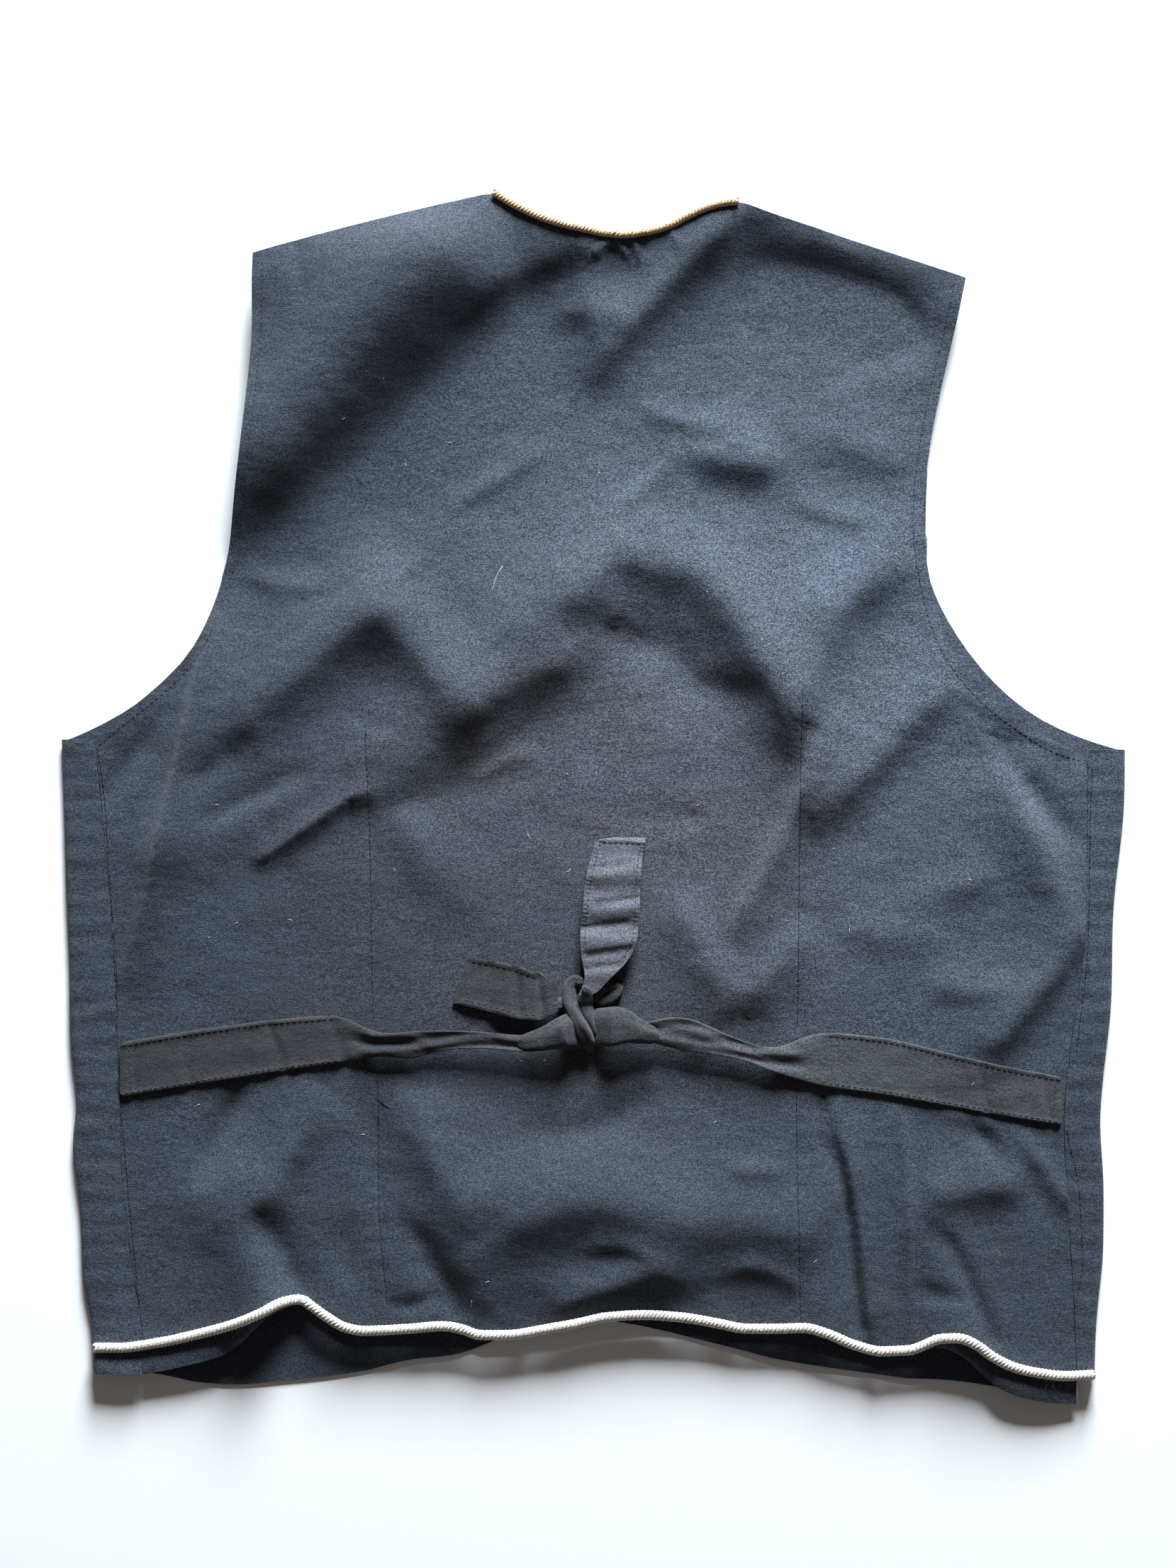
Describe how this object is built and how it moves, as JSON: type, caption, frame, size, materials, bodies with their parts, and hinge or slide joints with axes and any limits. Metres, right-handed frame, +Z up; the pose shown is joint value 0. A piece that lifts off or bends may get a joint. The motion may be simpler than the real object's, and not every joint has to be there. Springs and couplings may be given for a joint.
{
  "type": "vest",
  "caption": "Sleeveless dark cotton folk vest laid flat with its back up: knotted belt, corded back neck and corded hem, fronts folded underneath.",
  "frame": {"origin": "centre of the bounding box in X and Y, on the plane of the fronts' flat underside", "axes": "+X towards the right of the laid garment seen from above, +Y towards the neck, +Z up from the surface it lies on"},
  "size_m": [0.527, 0.6004, 0.021],
  "materials": {
    "body_cotton": "matte plain weave",
    "belt_cotton": "matte plain weave",
    "gold_cord": "soft twisted yarn",
    "cream_cord": "soft twisted yarn"
  },
  "bodies": {
    "root": {"back": "body_cotton", "front_left": "body_cotton", "front_right": "body_cotton", "belt_left": "belt_cotton", "belt_right": "belt_cotton", "tie_end_up": "belt_cotton", "tie_end_left": "belt_cotton", "knot": "belt_cotton", "knot_loop": "belt_cotton", "cord_neck": "gold_cord", "cord_hem": "cream_cord"}
  },
  "joints": []
}
